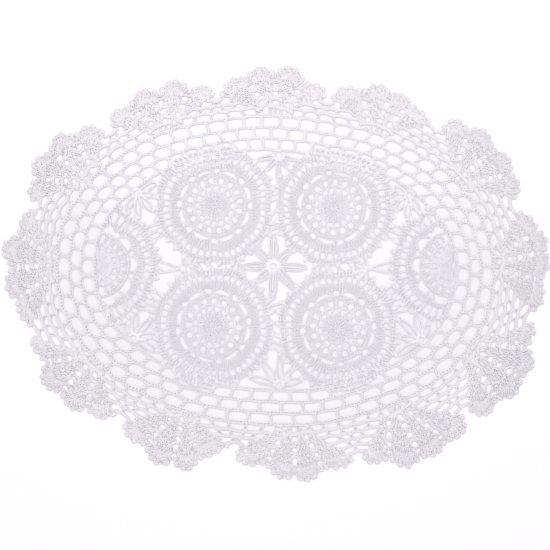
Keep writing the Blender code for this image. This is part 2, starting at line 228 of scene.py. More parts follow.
def evenly(path, count):
    """A path again with that count of equal steps."""
    path = np.asarray(path, dtype=float)
    lengths = np.concatenate(([0.0], np.cumsum(steps_of(path))))
    wanted = np.linspace(0.0, lengths[-1], count + 1)
    return np.stack([np.interp(wanted, lengths, path[:, axis]) for axis in (0, 1)], axis=1)


def length_of(path):
    return float(steps_of(path).sum())


def spread(reach, steps):
    """Even steps from one side to the other."""
    return [-reach + 2 * reach * step / steps for step in range(steps + 1)]


def uneven(half):
    """Half the width of a stitch, as a hand works it."""
    return half * (1 + rng.uniform(-UNEVEN_WIDTH, UNEVEN_WIDTH))


def put(name, data):
    """A new object in the scene."""
    made = bpy.data.objects.new(name, data)
    bpy.context.scene.collection.objects.link(made)
    return made


# The rounds of the net


TOP = 90  # degrees; a round starts there and runs to the left
OVAL_STEPS = 1440


def outward_wave(share):
    distance = OVAL_SPREAD
    for count, cosine, sine in OVAL_WAVES:
        angle = 2 * math.pi * count * share
        distance += cosine * math.cos(angle) + sine * math.sin(angle)
    return distance


def superellipse_point(halves, degrees):
    return tuple(half * math.copysign(abs(share) ** (2 / NET_FULLNESS), share)
                 for half, share in zip(halves, polar((0, 0), 1, degrees)))


@functools.cache
def oval(round_name, outwards):
    """Points round the net, each with its share of the way and its direction from the centre."""
    halves = [half + outwards for half in NET_ROUNDS[round_name]["halves"]]
    even = [superellipse_point(halves, TOP + 360 * step / OVAL_STEPS)
            for step in range(OVAL_STEPS + 1)]
    lengths = [0.0]
    for start, end in pairwise(even):
        lengths.append(lengths[-1] + math.dist(start, end))
    shares = [length / lengths[-1] for length in lengths]
    points = []
    directions = []
    for (x, y), share in zip(even, shares):
        stretch = 1 + outward_wave(share) / math.hypot(x, y)
        points.append((NET_CENTRE[0] + x * stretch, NET_CENTRE[1] + y * stretch))
        directions.append((math.degrees(math.atan2(y, x)) - TOP) % 360)
    directions[0] = 0.0
    directions[-1] = 360.0
    return points, shares, directions


def looked_up(points, keys, key):
    after = min(max(bisect.bisect_right(keys, key), 1), len(keys) - 1)
    share = (key - keys[after - 1]) / (keys[after] - keys[after - 1])
    return between(points[after - 1], points[after], share)


def oval_point(round_name, share, outwards=0.0):
    points, shares, _ = oval(round_name, outwards)
    return looked_up(points, shares, share % 1.0)


def heading(round_name, share, outwards=0.0):
    """The direction of a round at one place, the way it is worked."""
    return direction(oval_point(round_name, share - BASE_STEP, outwards),
                     oval_point(round_name, share + BASE_STEP, outwards))


def is_inside_net(point, gap):
    points, _, directions = oval("foundation", -STRAND / 2)
    edge = looked_up(points, directions, (direction(NET_CENTRE, point) - TOP) % 360)
    return math.dist(NET_CENTRE, point) < math.dist(NET_CENTRE, edge) - gap


def mesh_share(position):
    even = position / NET_MESHES
    return even - NET_EASE / (2 * math.pi) * math.sin(2 * math.pi * even)


# Stitches: strands as rows of (share along, share across, height)


CHAIN_LOOP = np.array([
    (-0.20, -0.10, 0.42), (0.20, -0.90, 0.58), (0.65, -0.90, 0.80), (1.08, -0.25, 1.00),
    (1.08, 0.25, 1.00), (0.65, 0.90, 0.80), (0.20, 0.90, 0.58), (-0.20, 0.10, 0.42)]) * (1, 1, MM)
CHAIN_BACK = np.array([
    (0.05, 0.10, 0.40), (0.35, -0.22, 0.38), (0.75, -0.22, 0.38), (1.05, 0.10, 0.40)]) * (1, 1, MM)
SHORT_LEGS = [
    np.array([(-0.10, 0.15, 0.45), (0.30, 0.50, 0.75), (0.72, 0.95, 0.85), (1.05, 0.70, 0.60)])
    * (1, side, MM) for side in (-1, 1)]


def twisted(turns, steps, phase, height=0.72 * MM, depth=0.24 * MM, count=2):
    """Strands wound round each other, as in the post of a double crochet."""
    shares = np.linspace(-0.04, 1.04, steps)
    strands = []
    for strand in range(count):
        angle = phase + 2 * math.pi * (strand / count + turns * shares)
        strands.append(np.stack([shares, np.cos(angle), height + depth * np.sin(angle)], axis=1))
    return strands


POSTS = [twisted(turns, 5, phase)
         for turns in (0.9, 1.2) for phase in (0.3, 0.9, 1.5, 2.1, 2.7)]
SHORT_POSTS = [twisted(0.55, 4, phase) for phase in (0.3, 0.8, 1.3, 1.8, 2.3, 2.8)]
NET_POSTS = [twisted(0.9, 6, phase, count=3) for phase in (0.2, 0.7, 1.2, 1.7)]
MIDDLE_STITCH = twisted(2.5, 12, 0.4, height=0.55 * MM)
for strand in sum(NET_POSTS, []):
    strand[:, 1] *= 0.85 + 0.45 * (2 * strand[:, 0] - 1) ** 2  # spread where it is worked in


class Worked:
    """Cotton worked into one piece of the doily."""

    def __init__(self):
        self.strands = []
        self.eyelets = []

    def lay(self, strands, start, end, half, flare=1.0, lift=0.0):
        """One stitch from start to end; flare is how much wider it is at its end."""
        if start is None or end is None:
            return
        start, end = (np.array(place) + (rng.gauss(0, UNEVEN), rng.gauss(0, UNEVEN))
                      for place in (start, end))
        along = end - start
        side = np.array((-along[1], along[0])) / max(float(np.hypot(*along)), 1e-9)
        for strand in strands:
            share = strand[:, 0:1]
            width = half * (2 / (1 + flare)) * (1 + (flare - 1) * np.clip(share, 0, 1))
            flat = start + along * share + side * strand[:, 1:2] * width
            self.strands.append(np.concatenate([flat, strand[:, 2:3] + lift], axis=1))

    def chain(self, path, half=CHAIN_HALF, pitch=CHAIN_PITCH, back=False, lift=0.0):
        """Chain stitches along a path."""
        if any(point is None for point in path):
            return
        if self.eyelets:
            path = give_way(np.array(path), self.eyelets, half + EYELET_ROOM)
        places = evenly(path, max(1, round(length_of(path) / pitch)))
        strands = [CHAIN_LOOP, CHAIN_BACK] if back else [CHAIN_LOOP]
        for start, end in pairwise(places):
            self.lay(strands, start, end, uneven(half), lift=lift)

    def post(self, start, end, half, flare=1.1, kinds=POSTS):
        """The post of a double crochet, left out where it would run through an eyelet."""
        kind = rng.choice(kinds)
        if start is not None and end is not None:
            steps = [between(start, end, share) for share in (0.1, 0.3, 0.5, 0.7, 0.9)]
            if any(math.dist(step, (x, y)) < 0.45 * radius
                   for x, y, radius in self.eyelets for step in steps):
                return
        self.lay(kind, start, end, half, flare)

    def picot(self, foot, aim, length, width):
        """A small knot of chains that stands out from an edge."""
        path = []
        for turn in spread(1.0, 8):
            angle = math.pi * turn
            point = polar(foot, length * (0.5 + 0.5 * math.cos(angle)), aim)
            path.append(polar(point, width / 2 * math.sin(angle), aim + 90))
        self.chain(path, half=0.40 * MM, pitch=2.1 * MM)


def give_way(points, eyelets, room):
    """Stitches near an eyelet lie beside it, not across it: each gives way to its own side."""
    points = points.copy()
    for x, y, radius in eyelets:
        reach = radius + room
        apart = points[:, :2] - (x, y)
        distance = np.hypot(*apart.T)
        nearest = int(np.argmin(distance))
        if distance[nearest] > 1.6 * reach:
            continue
        before, after = max(nearest - 1, 0), min(nearest + 1, len(points) - 1)
        along = points[after, :2] - points[before, :2]
        along = along / max(float(np.hypot(*along)), 1e-9)
        across = np.array((-along[1], along[0]))
        off = apart @ across
        side = 1.0 if off[nearest] >= 0 else -1.0
        needed = np.sqrt(np.clip(reach ** 2 - (apart @ along) ** 2, 0.0, None))
        moved = side * np.maximum(side * off, needed) - off
        moved[distance > 2.2 * reach] = 0.0
        points[:, :2] += moved[:, None] * across
    return points


def near_ones(points, eyelets):
    """Those eyelets that a strand comes near to."""
    if not len(eyelets):
        return eyelets
    apart = eyelets[:, :2] - points[len(points) // 2, :2]
    return eyelets[np.hypot(*apart.T) < 6.0 * MM]


def warped(points):
    """Hand-worked lace never lies quite even: slow small drifts over the cloth."""
    drift, ripple = 0.35 * MM, 0.22 * MM
    x, y = points[:, 0], points[:, 1]
    moved = points.copy()
    moved[:, 0] += drift * np.sin(95 * y + 0.7) + ripple * np.sin(140 * x + 60 * y)
    moved[:, 1] += drift * np.sin(85 * x + 2.1) + ripple * np.sin(130 * y - 70 * x)
    moved[:, :2] -= MIDDLE
    return moved


def piece_of(name, worked, material, thread, rise):
    """Gives the strands their thickness and makes one mesh of them."""
    curve = bpy.data.curves.new(name, "CURVE")
    curve.dimensions = "3D"
    curve.bevel_depth = thread
    curve.bevel_resolution = 0
    curve.use_fill_caps = True
    eyelets = np.array(worked.eyelets)
    for strand in worked.strands:
        points = warped(give_way(strand, near_ones(strand, eyelets), 0.8 * thread))
        points[:, 2] = np.maximum(points[:, 2] * rise, 0.95 * thread)  # it lies on the table
        spline = curve.splines.new("POLY")
        spline.points.add(len(points) - 1)
        flat = np.concatenate([points, np.ones((len(points), 1))], axis=1)
        spline.points.foreach_set("co", flat.ravel())
    drawn = put(name + "_strands", curve)
    bpy.context.view_layer.update()
    mesh = bpy.data.meshes.new_from_object(
        drawn.evaluated_get(bpy.context.evaluated_depsgraph_get()))
    bpy.data.objects.remove(drawn)
    bpy.data.curves.remove(curve)
    shape = bmesh.new()
    shape.from_mesh(mesh)
    bmesh.ops.remove_doubles(shape, verts=shape.verts, dist=0.000002)
    shape.to_mesh(mesh)
    shape.free()
    mesh.name = name
    mesh.materials.clear()
    mesh.materials.append(material)
    return put(name, mesh)


# The motifs


def centre_of(motif):
    return (motif["x"], motif["y"])


def pressed(name, degrees, radius):
    """A radius as the whole medallions leave room for it between them."""
    centre = centre_of(MOTIFS[name])
    for other, neighbour in MEDALLIONS.items():
        if name not in MEDALLIONS or other == name:
            continue
        apart = math.dist(centre, centre_of(neighbour))
        lean = math.cos(math.radians(degrees - direction(centre, centre_of(neighbour))))
        if lean > PRESSED_LEAN:
            radius = min(radius, (apart - GAP) / 2 / lean)
    return radius


def rim(name, degrees):
    """How far a motif's solid reaches in one direction: it dips between two petals."""
    motif = MOTIFS[name]
    half = motif["angle"] / 2
    off = (degrees - motif["joint"] + half) % motif["angle"] - half
    dip = JOINT_DEPTH * math.exp(-((off / JOINT_WIDTH) ** 2))
    return pressed(name, degrees, motif["radius"] - dip)


def is_clear(point):
    return is_inside_net(point, 0.0) and all(
        math.dist(centre_of(motif), point) >= rim(name, direction(centre_of(motif), point))
        for name, motif in MOTIFS.items())


class Motif:
    """A round motif in its own terms: petals, and radii as in a free one of full size."""

    FULL = 45.4 * MM
    CALM = 0.58  # the middle, up to this share of the radius, isn't pressed
    CUT = 0.60  # where less than this share of the radius fits in, the motif is cut off
    # How much of the pressing is taken up so far out: the round of holes keeps open
    TAKEN_UP = ((CALM, 0.0), (0.75, 0.41), (0.865, 0.56), (1.0, 1.0))
    HARD_PRESSED = 0.6  # from this share of the outer rounds on, they all give way alike
    SLACK = 2.2 * MM  # how far the slots' chains stand out in a half medallion

    def __init__(self, name):
        motif = MOTIFS[name]
        self.centre = centre_of(motif)
        self.radius = motif["radius"]
        self.scale = self.radius / self.FULL
        self.petal_angle = motif["angle"]
        self.room = []
        for degrees in range(360):
            radius = pressed(name, degrees, self.radius)
            while radius > 0 and not is_inside_net(polar(self.centre, radius, degrees), 0.0):
                radius -= 0.2 * MM
            self.room.append(max(radius, 0.0))
        self.slack = 0.0 if name in MEDALLIONS else self.SLACK

    def at(self, radius, degrees):
        """The place of a point, drawn in where a neighbour or the net presses on the motif."""
        radius *= self.scale
        whole = math.floor(degrees)
        room = self.room[whole % 360]
        room += (self.room[(whole + 1) % 360] - room) * (degrees - whole)
        if room < self.radius * self.CUT:
            return polar(self.centre, radius, degrees) if radius < room else None
        share = radius / self.radius
        if share > self.CALM:
            if self.radius - room > self.HARD_PRESSED * (1 - self.CALM) * self.radius:
                taken = (share - self.CALM) / (1 - self.CALM)
            else:
                taken = float(np.interp(share, *zip(*self.TAKEN_UP)))
            radius -= (self.radius - room) * taken
        return polar(self.centre, radius, degrees)

    def petal(self, facing, radius, across, drop=0.0):
        """A point of a petal: across runs from -1 to 1 between its joints."""
        return self.at(radius - drop * across ** 4, facing + across * self.petal_angle / 2)


def ring(motif, worked, radius, turns, pitch=CHAIN_PITCH, half=CHAIN_HALF):
    """Chain stitches round the motif at one radius, over the given turns."""
    start, end = turns
    length = math.radians(end - start) * radius * motif.scale
    count = max(3, round(length / pitch))
    places = [motif.at(radius, start + (end - start) * step / count) for step in range(count + 1)]
    for a, b in pairwise(places):
        if a is not None and b is not None:
            worked.lay([CHAIN_LOOP], a, b, uneven(half))


# A motif's middle from the inside out, in millimetres: a round's chain by radius, pitch and half
# width; then its posts by inner and outer radius, number a petal, half width and flare
INNER_ROUNDS = (
    (1.9, 1.6, 0.40, 2.3, 5.0, 1.5, 0.45, 2.5),
    (5.2, 2.0, 0.66, 5.5, 8.0, 2.75, 0.70, 1.4),
    (8.2, 2.6, 0.66, 8.5, 10.6, 3.75, 0.74, 1.2),
    (10.8, 2.6, 0.66, 11.2, 15.1, 2, 0.66, 1.2),
)
LOOPS_FOOT, LOOPS_TOP = 15.5 * MM, 23.2 * MM  # the chains inside and outside the round of loops
LOOP = ((15.6, -0.30), (17.4, -0.40), (19.4, -0.43), (21.2, -0.32), (22.1, 0.0),
        (21.2, 0.32), (19.4, 0.43), (17.4, 0.40), (15.6, 0.30))


def inner_rounds(motif, worked, start, end):
    """Solid middle, a round of small holes and a round of loops, over part of a circle."""
    petals = (end - start) / motif.petal_angle

    def turns(per_petal):
        count = round(per_petal * petals)
        return [start + (end - start) * (step + 0.5) / count for step in range(count)]

    for radius, pitch, half, inner, outer, per_petal, post_half, flare in INNER_ROUNDS:
        ring(motif, worked, radius * MM, (start, end), pitch * MM, half * MM)
        for degrees in turns(per_petal):
            worked.post(motif.at(inner * MM, degrees), motif.at(outer * MM, degrees),
                        post_half * MM, flare)
    ring(motif, worked, LOOPS_FOOT, (start, end))
    for middle in turns(2):
        worked.chain([motif.at(radius * MM, middle + share * motif.petal_angle / 2)
                      for radius, share in LOOP], half=0.74 * MM)
    ring(motif, worked, LOOPS_TOP, (start, end))


# The rounds of a petal, in millimetres: radius in its middle and drop towards its joints
SHELL_TOP = (32.8, 1.2)
SHELL_CHAIN = (33.4, 1.4)
HOLES_FOOT, HOLES_TOP = (34.0, 1.4), (38.8, 1.8)
HOLES_CHAIN = (39.4, 1.8)
RIM_FOOT, RIM_HEAD = (39.9, 1.8), (42.2, 2.0)
RIM_CHAIN = (42.8, 2.2)
TIP_FOOT, TIP_END = (42.9, 2.2), (46.0, 2.2)
TIPS = (-0.75, -0.25, 0.25, 0.75)
SHELL_POSTS = 12
SHELL_REACH = 0.93  # how near to the joints the outermost of them stand
HOLES = 6
RIM_POSTS = 14
# The chain under a shell: how far out it runs from the middle of the petal to its foot
ARCH = ((0.0, 28.1), (0.38, 27.6), (0.56, 26.6), (0.68, 25.2), (0.78, 24.4))
SHELL_FOOT = ((0.0, 28.5), (0.35, 28.1), (0.55, 27.2), (0.72, 26.2), (0.80, 28.0), (1.0, 28.0))


def petal_rounds(motif, worked, facing):
    """One petal: the chain over its slot, the solid shell, the spokes and the dense rim."""
    size = motif.petal_angle / 45  # of a whole medallion's petal

    def point(place, share):
        return motif.petal(facing, place[0] * MM, share, place[1] * MM)

    def line(place, steps):
        worked.chain([point(place, share) for share in spread(1.0, steps)])

    def posts(inner, outer, inner_reach, outer_reach, count, half):
        for share in spread(1.0, count - 1):
            worked.post(point(inner, share * inner_reach), point(outer, share * outer_reach), half)

    def along(profile, share):
        return float(np.interp(abs(share), *zip(*profile))) * MM + motif.slack * (1 - share ** 2)

    worked.chain([motif.petal(facing, along(ARCH, share), share)
                  for share in spread(ARCH[-1][0], 16)])
    for step in spread(1.0, max(5, round(SHELL_POSTS * size)) - 1):
        share = step * SHELL_REACH
        foot = motif.petal(facing, along(SHELL_FOOT, share), share * 0.97)
        worked.post(foot, point(SHELL_TOP, share), rng.uniform(0.66, 0.84) * MM, 1.2)
    line(SHELL_CHAIN, 12)
    posts(HOLES_FOOT, HOLES_TOP, 0.84, 0.85, max(4, round(HOLES * size)), 0.72 * MM)
    line(HOLES_CHAIN, 14)
    posts(RIM_FOOT, RIM_HEAD, 0.95, 0.96, max(8, round(RIM_POSTS * size)), 0.86 * MM)
    line(RIM_CHAIN, 14)
    for share in TIPS:
        share += rng.uniform(-0.06, 0.06)
        foot, tip = point(TIP_FOOT, share), point(TIP_END, share)
        if foot is not None and tip is not None:
            worked.picot(foot, direction(foot, tip), math.dist(foot, tip), 2.4 * MM)


def all_rounds(name, start, end):
    """A motif's own rounds and those of its petals, from one direction to another."""
    shape, worked = Motif(name), Worked()
    inner_rounds(shape, worked, start, end)
    for petal in range(round((end - start) / shape.petal_angle)):
        petal_rounds(shape, worked, start + (petal + 0.5) * shape.petal_angle)
    return worked


def whole_medallion(name):
    motif = MEDALLIONS[name]
    worked = all_rounds(name, motif["joint"], motif["joint"] + 360)
    for other, turns in HOOKED_TO.get(name, {}).items():
        hooked(worked, centre_of(motif), motif["radius"] - HOOK_INSET, other, turns, WHOLE_HOOK)
    return worked


def hooked(worked, centre, reach, other, turns, longest):
    """Short chains from a motif's rim to the rim of a whole medallion beside it."""
    hub = centre_of(MEDALLIONS[other])
    away = direction(centre, hub)
    for turn in turns:
        hook = polar(centre, reach, away + turn)
        back = direction(hub, hook)
        catch = polar(hub, rim(other, back) - HOOK_INSET, back)
        if LEAST_HOOK < math.dist(hook, catch) < longest and is_inside_net(catch, HOOK_INSET):
            worked.chain([hook, catch], half=0.85 * MM, back=True)


def half_medallion(name):
    motif = HALF_MEDALLIONS[name]
    centre, faces = centre_of(motif), motif["faces"]
    worked = all_rounds(name, faces - 90, faces + 90)
    # the bars that reach in between the whole medallions
    end = polar(centre, BAR_REACH, faces + motif["bar"])
    for side in (-1, 1):
        turn = faces + motif["bar"] + side * BAR_SPREAD
        worked.chain([polar(centre, motif["radius"] - BAR_INSET, turn), end],
                     half=BAR_HALF, back=True)
    for turn in BRANCH_TURNS:
        worked.chain([end, polar(end, BRANCH_LENGTH, faces + turn)], half=BAR_HALF, back=True)
    for other, neighbour in MEDALLIONS.items():
        if math.dist(centre, centre_of(neighbour)) < NEIGHBOUR:
            hooked(worked, centre, motif["radius"] - HALF_HOOK_INSET, other,
                   HALF_HOOKED_AT, UPPER_HOOK if neighbour["y"] > 0 else LOWER_HOOK)
    return worked


# Star fillings


def petal_length(hub, degrees, longest):
    length = HUB_RADIUS
    while length < longest:
        if not is_clear(polar(hub, length, degrees)):
            return length
        length += 0.1 * MM
    return longest


def star_petal(worked, hub, degrees, length, bow, half):
    """Two chains from the hub that bow apart and meet in a point."""
    for side in (-1, 1):
        path = []
        for step in range(11):
            share = step / 10
            middle = polar(hub, HUB_RADIUS + (length - HUB_RADIUS) * share, degrees)
            apart = bow * math.sin(math.pi * (0.08 + 0.86 * share)) ** 0.8
            path.append(polar(middle, apart, degrees + 90 * side))
        worked.chain(path, half=half)


def hub_ring(worked, hub):
    path = [polar(hub, HUB_CHAIN, 360 * step / 12) for step in range(13)]
    worked.chain(path, pitch=2.0 * MM, half=0.62 * MM)


def centre_star():
    worked = Worked()
    hub = centre_of(STAR)
    hub_ring(worked, hub)
    for petal in range(STAR_PETALS):
        degrees = TOP + petal * 360 / STAR_PETALS
        length = petal_length(hub, degrees, STAR["longest"])
        star_petal(worked, hub, degrees, length, STAR_BOW, 0.78 * MM)
        worked.lay(MIDDLE_STITCH, polar(hub, 3.6 * MM, degrees),
                   polar(hub, 0.72 * length, degrees), 0.42 * MM)
    return worked


def edge_filling(name):
    worked = Worked()
    filling = FILLINGS[name]
    inwards = heading("foundation", filling["place"]) + 90
    hung = oval_point("foundation", filling["place"])
    hub = polar(hung, HUB_RADIUS + STRAND / 2 + GAP, inwards)
    hub_ring(worked, hub)
    for turn in FILLING_PETAL_TURNS:
        degrees = inwards + filling["turn"] + turn
        length = petal_length(hub, degrees, filling["longest"] + FILLING_STRETCH)
        if length > LEAST_PETAL:
            star_petal(worked, hub, degrees, length, THIN_BOWS.get(name, FILLING_BOW), 0.62 * MM)
    return worked


# The net ground


def fuller_by(point):
    ends = NET_END_HALF * (abs(point[0] - NET_CENTRE[0]) / NET_END) ** 3
    return ends + NET_LOW_HALF * max(0.0, (NET_CENTRE[1] - point[1]) / NET_LOW_END)


def net_point(round_name, position, outwards=0.0):
    """A place on a round of the net: posts worked into it draw it out, its own draw it in."""
    place = oval_point(round_name, mesh_share(position))
    deep = NET_PULL + NET_END_PULL * (place[0] / NET_END) ** 2
    if round_name == "foundation":
        pull = deep / 2 * math.cos(2 * math.pi * (position - 0.75))
    else:
        own = NET_ROUNDS[round_name]["shift"] + 0.5  # where its own posts come from inside
        pull = -deep * math.cos(2 * math.pi * (position - own))
    return polar(place, pull + outwards, heading(round_name, mesh_share(position)) - 90)


def net_ground():
    worked = Worked()
    names = list(NET_ROUNDS)
    for name in names:
        path = [net_point(name, step / 8) for step in range(8 * NET_MESHES + 1)]
        places = evenly(path, round(length_of(path) / CHAIN_PITCH))
        for start, end in pairwise(places):
            worked.lay([CHAIN_LOOP, CHAIN_BACK], start, end,
                       uneven(NET_CHAIN_HALF + fuller_by(start)))
    for motif in MEDALLIONS.values():
        longest = RIM_TOP if motif["y"] > 0 else RIM_LOW
        tops = []
        for step in range(RIM_STEPS * NET_MESHES):
            foot = net_point("foundation", step / RIM_STEPS, 0.6 * MM)
            over = RIM_REACH - math.dist(centre_of(motif), foot)
            if over > RIM_LEAST:
                out = direction(centre_of(motif), foot)
                tops.append(polar(foot, min(over, longest), out))
                worked.post(foot, tops[-1], 0.76 * MM)
        worked.chain([tops[0]] + tops + [tops[-1]], half=0.62 * MM)
    for inner, outer in pairwise(names):
        for mesh in range(NET_MESHES):
            position = mesh + NET_ROUNDS[outer]["shift"] + 0.5 + rng.gauss(0, 0.02)
            foot = net_point(inner, position, 0.60 * MM)
            top = net_point(outer, position + rng.gauss(0, 0.015), -0.50 * MM)
            worked.post(foot, top, NET_POST_HALF + fuller_by(foot), kinds=NET_POSTS)
    return worked


# The fan edging


def edging_base(share):
    return oval_point("third", share, EDGING_OFF)


def outward_direction(share):
    return heading("third", share, EDGING_OFF) - 90


THIRD_LENGTH = length_of(oval("third", 0.0)[0])


class Fan:
    """A fan of four wedges on the net: where its rows, its edges and its scallops lie."""

    def __init__(self, number):
        fan = FANS[number]
        base = edging_base(fan["place"])
        out = outward_direction(fan["place"])
        tips = [polar(base, reach - PICOT, out + turn)
                for reach, turn in zip(fan["reach"], fan["turns"])]
        sides = [polar(notch_of(notch), NOTCH_HALF, outward_direction(notch["place"]) + turn)
                 for notch, turn in ((NOTCHES[number - 1], 90), (NOTCHES[number], -90))]
        dents = sides[:1]
        for one, two in pairwise(tips):
            middle = between(one, two, 0.5)
            dents.append(polar(middle, VALLEY_DROP * math.dist(one, two), direction(middle, base)))
        dents += sides[1:]
        self.tips, self.dents = tips, dents
        self.aways = UPPER_EYELETS if number in UPPER_FANS else EYELETS
        half = 2 * FOOT_SPREAD / THIRD_LENGTH
        self.first_share, self.last_share = fan["place"] - half, fan["place"] + half
        places = [fan["place"] + (edge - 2) * FOOT_SPREAD / THIRD_LENGTH for edge in range(5)]
        self.hems = [edging_base(place) for place in places]
        self.feet = [polar(hem, FOOT_HEIGHT, outward_direction(place))
                     for hem, place in zip(self.hems, places)]
        for edge in (0, 4):
            self.feet[edge] = polar(self.hems[edge], OUTER_FOOT_HEIGHT,
                                    direction(self.hems[edge], dents[edge]))
        self.ends = [polar(dent, VALLEY_DEPTH, direction(dent, foot))
                     for dent, foot in zip(dents, self.hems)]
        self.tops = [polar(tip, SCALLOP_DEPTH, direction(tip, base)) for tip in tips]

    def side(self, number, up):
        """A point on the outer edge of the first or the last wedge."""
        straight = between(self.hems[number], self.dents[number], up)
        middle = between(self.hems[2], self.dents[2], up)
        return polar(straight, SIDE_BOW * math.sin(math.pi * min(max(up, 0), 1)),
                     direction(straight, middle))

    def edge(self, number, share):
        if number in (0, 4):
            length = math.dist(self.hems[number], self.dents[number])
            low, high = OUTER_FOOT_HEIGHT / length, 1 - VALLEY_DEPTH / length
            return self.side(number, low + (high - low) * share)
        return between(self.feet[number], self.ends[number], share)

    def eyelets(self):
        for edge in (1, 2, 3):
            dent, hem = self.dents[edge], self.hems[edge]
            for away in self.aways:
                if math.dist(dent, hem) - away > EYELET_LIMIT:
                    centre = polar(dent, away + rng.gauss(0, EYELET_WANDER), direction(dent, hem))
                    yield (*centre, EYELET * rng.uniform(0.85, 1.12))

    def at(self, wedge, across, share):
        """A point of a wedge: across from one edge to the other, share from the net outwards."""
        left, right = self.edge(wedge, share), self.edge(wedge + 1, share)
        middle = between(self.ends[wedge], self.ends[wedge + 1], 0.5)
        swell = 4 * across * (1 - across) * share
        return shifted(between(left, right, across), middle, self.tops[wedge], swell)

    def scallop(self, wedge, across, inwards=0.0):
        """A point on the round edge of a wedge's scallop."""
        start, end, tip = self.dents[wedge], self.dents[wedge + 1], self.tips[wedge]
        chord = (end[0] - start[0], end[1] - start[1])
        top = ((tip[0] - start[0]) * chord[0] + (tip[1] - start[1]) * chord[1])
        top = min(0.65, max(0.35, top / (chord[0] ** 2 + chord[1] ** 2)))
        foot = between(start, end, top)
        rise = math.sin(math.pi / 2 * min(across / top, (1 - across) / (1 - top))) ** 0.62
        point = shifted(between(start, end, across), foot, tip, rise)
        return polar(point, inwards, direction(point, self.tops[wedge]))


def notch_of(notch):
    return polar(edging_base(notch["place"]), notch["depth"] - 1.0 * MM,
                 outward_direction(notch["place"]))


def fan_rows(worked, fan):
    """Rows of double crochet in four wedges, with a line of eyelets between two wedges."""
    worked.chain(fan.feet, half=LOOP_HALF, back=True)
    for hem, foot in zip(fan.hems, fan.feet):
        worked.lay(SHORT_LEGS, hem, foot, 0.8 * MM, 1.3)

    def across(width, share):
        return (WEDGE_ROOM + (width - WEDGE_ROOM - WEDGE_ROOM) * share) / width

    for row in range(FAN_ROWS):
        low, high = row / FAN_ROWS, (row + 1) / FAN_ROWS
        for wedge in range(4):
            bottom, top = (math.dist(fan.edge(wedge, up), fan.edge(wedge + 1, up))
                           for up in (low, high))
            clear = (bottom + top) / 2 - WEDGE_ROOM - WEDGE_ROOM
            count = max(2, round(clear / DENSE_PITCH) + 1)
            half = min(max(clear / (count - 1) / 2 - 0.22 * MM, 0.40 * MM), 1.0 * MM)
            for step in range(count):
                share = step / (count - 1)
                worked.post(fan.at(wedge, across(bottom, share), low + 0.01),
                            fan.at(wedge, across(top, share), high - 0.01),
                            half * rng.uniform(0.84, 1.04), kinds=SHORT_POSTS)
        path = [fan.at(wedge, step / 14, high) for wedge in range(4) for step in range(14)]
        worked.chain(path + [fan.at(3, 1, high)], half=0.70 * MM, lift=0.15 * MM)


def scallop(worked, fan, wedge):
    """A round of double crochets over the top of a wedge, with picots on its edge."""
    edge = [fan.scallop(wedge, step / 20) for step in range(21)]
    length = length_of(edge)
    count = round(length / SCALLOP_PITCH)
    for step in range(count):
        share = (step + 0.5) / count
        foot = fan.at(wedge, 0.5 + (share - 0.5) * 0.74, 1.0)
        worked.post(foot, fan.scallop(wedge, share, 0.7 * MM), 0.72 * MM, 1.5)
    worked.chain(edge)
    picots = round(length / PICOT_PITCH)
    for step in range(picots):
        share = (step + 0.5) / picots + rng.uniform(-0.03, 0.03)
        foot = fan.scallop(wedge, share, -0.3 * MM)
        aim = direction(fan.tops[wedge], foot)
        worked.picot(foot, aim, PICOT + rng.uniform(-0.4, 0.2) * MM, PICOT_WIDTH)


def fans_meet(worked, fan, notch, following):
    """The close rows of loops between two fans, from the net out to the notch."""
    first, last = fan.last_share, following.first_share
    if last < first:
        last += 1
    top_edge = (fan.dents[4], notch_of(notch), following.dents[0])

    def place(across, up, lower=0.0):
        base = edging_base(first + (last - first) * across)
        side = int(across >= 0.5)
        top = between(top_edge[side], top_edge[side + 1], 2 * across - side)
        point = between(base, top, up)
        for edge, (one, number) in ((1 - across, (fan, 4)), (across, (following, 0))):
            straight = between(one.hems[number], one.dents[number], up)
            point = shifted(point, straight, one.side(number, up), edge ** 2)
        return polar(point, lower, direction(top, base))

    def width(up):
        return length_of([place(step / 8, up) for step in range(9)])

    rows = max(3, round(notch["depth"] / LOOP_ROW))
    tops = max(3, round(width(0.12) / LOOP_LENGTH))
    hooks = [step / tops for step in range(1, tops)]
    for row in range(rows):
        up = (row + 1) / rows
        reach = 0.22 / max(len(hooks) + 1, 2)
        path = []
        for step in range(49):
            across = step / 48
            dips = sum(math.exp(-((across - hook) / reach) ** 2) for hook in hooks)
            path.append(place(across, up, LOOP_DIP * (2 * min(dips, 1.0) - 0.6)))
        worked.chain(path, half=LOOP_HALF + 0.2 * fuller_by(path[24]), back=True)
        for hook in hooks:
            worked.lay(SHORT_LEGS, place(hook, up - 1 / rows + 0.02),
                       place(hook, up - 0.02, LOOP_DIP * 1.4), 0.8 * MM)
        ends = [0.0] + hooks + [1.0]
        hooks = [(a + b) / 2 for a, b in pairwise(ends)]
        while len(hooks) > max(1, round(width(up + 0.2) / LOOP_LENGTH)):
            hooks = [(a + b) / 2 for a, b in pairwise(hooks)]


def fan_edging(numbers):
    worked = Worked()
    for number in numbers:
        fan, following = Fan(number), Fan((number + 1) % len(FANS))
        worked.eyelets += fan.eyelets()
        fan_rows(worked, fan)
        for wedge in range(4):
            scallop(worked, fan, wedge)
        fans_meet(worked, fan, NOTCHES[number], following)
    return worked


# Finishes


